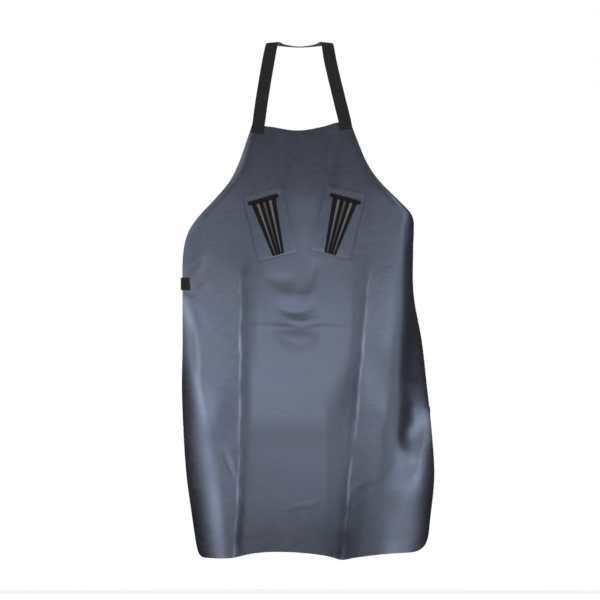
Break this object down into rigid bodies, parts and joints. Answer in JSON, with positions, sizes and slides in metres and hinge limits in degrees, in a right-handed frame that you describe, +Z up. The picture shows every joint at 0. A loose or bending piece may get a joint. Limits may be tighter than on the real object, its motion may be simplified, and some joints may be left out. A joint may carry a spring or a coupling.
{
  "type": "hoof trimming apron",
  "caption": "Grey coated-cloth bib apron for hoof trimming in its worn shape, with black neck and waist webbing and ribbed knife sheaths on sewn chest patches.",
  "frame": {"origin": "seat of the neck strap at the middle of the nape, on the strap's underside", "axes": "+Z up, the wearer faces -Y, +X is the wearer's left"},
  "size_m": [0.6009, 0.2561, 1.2276],
  "materials": {
    "cloth": "grey-blue coated cloth, satin, fine grain",
    "patch_cloth": "the apron's coated cloth, sewn on as a patch",
    "sheath": "black moulded rubber, satin",
    "webbing": "black woven webbing, matte",
    "buckle": "black moulded plastic, satin"
  },
  "bodies": {
    "root": {"apron_body": "cloth", "pocket_patch_left": "patch_cloth", "pocket_patch_right": "patch_cloth", "knife_sheath_left": "sheath", "knife_sheath_right": "sheath", "neck_strap": "webbing", "waist_strap_left": "webbing", "waist_strap_right": "webbing", "waist_buckle": "buckle"}
  },
  "joints": []
}
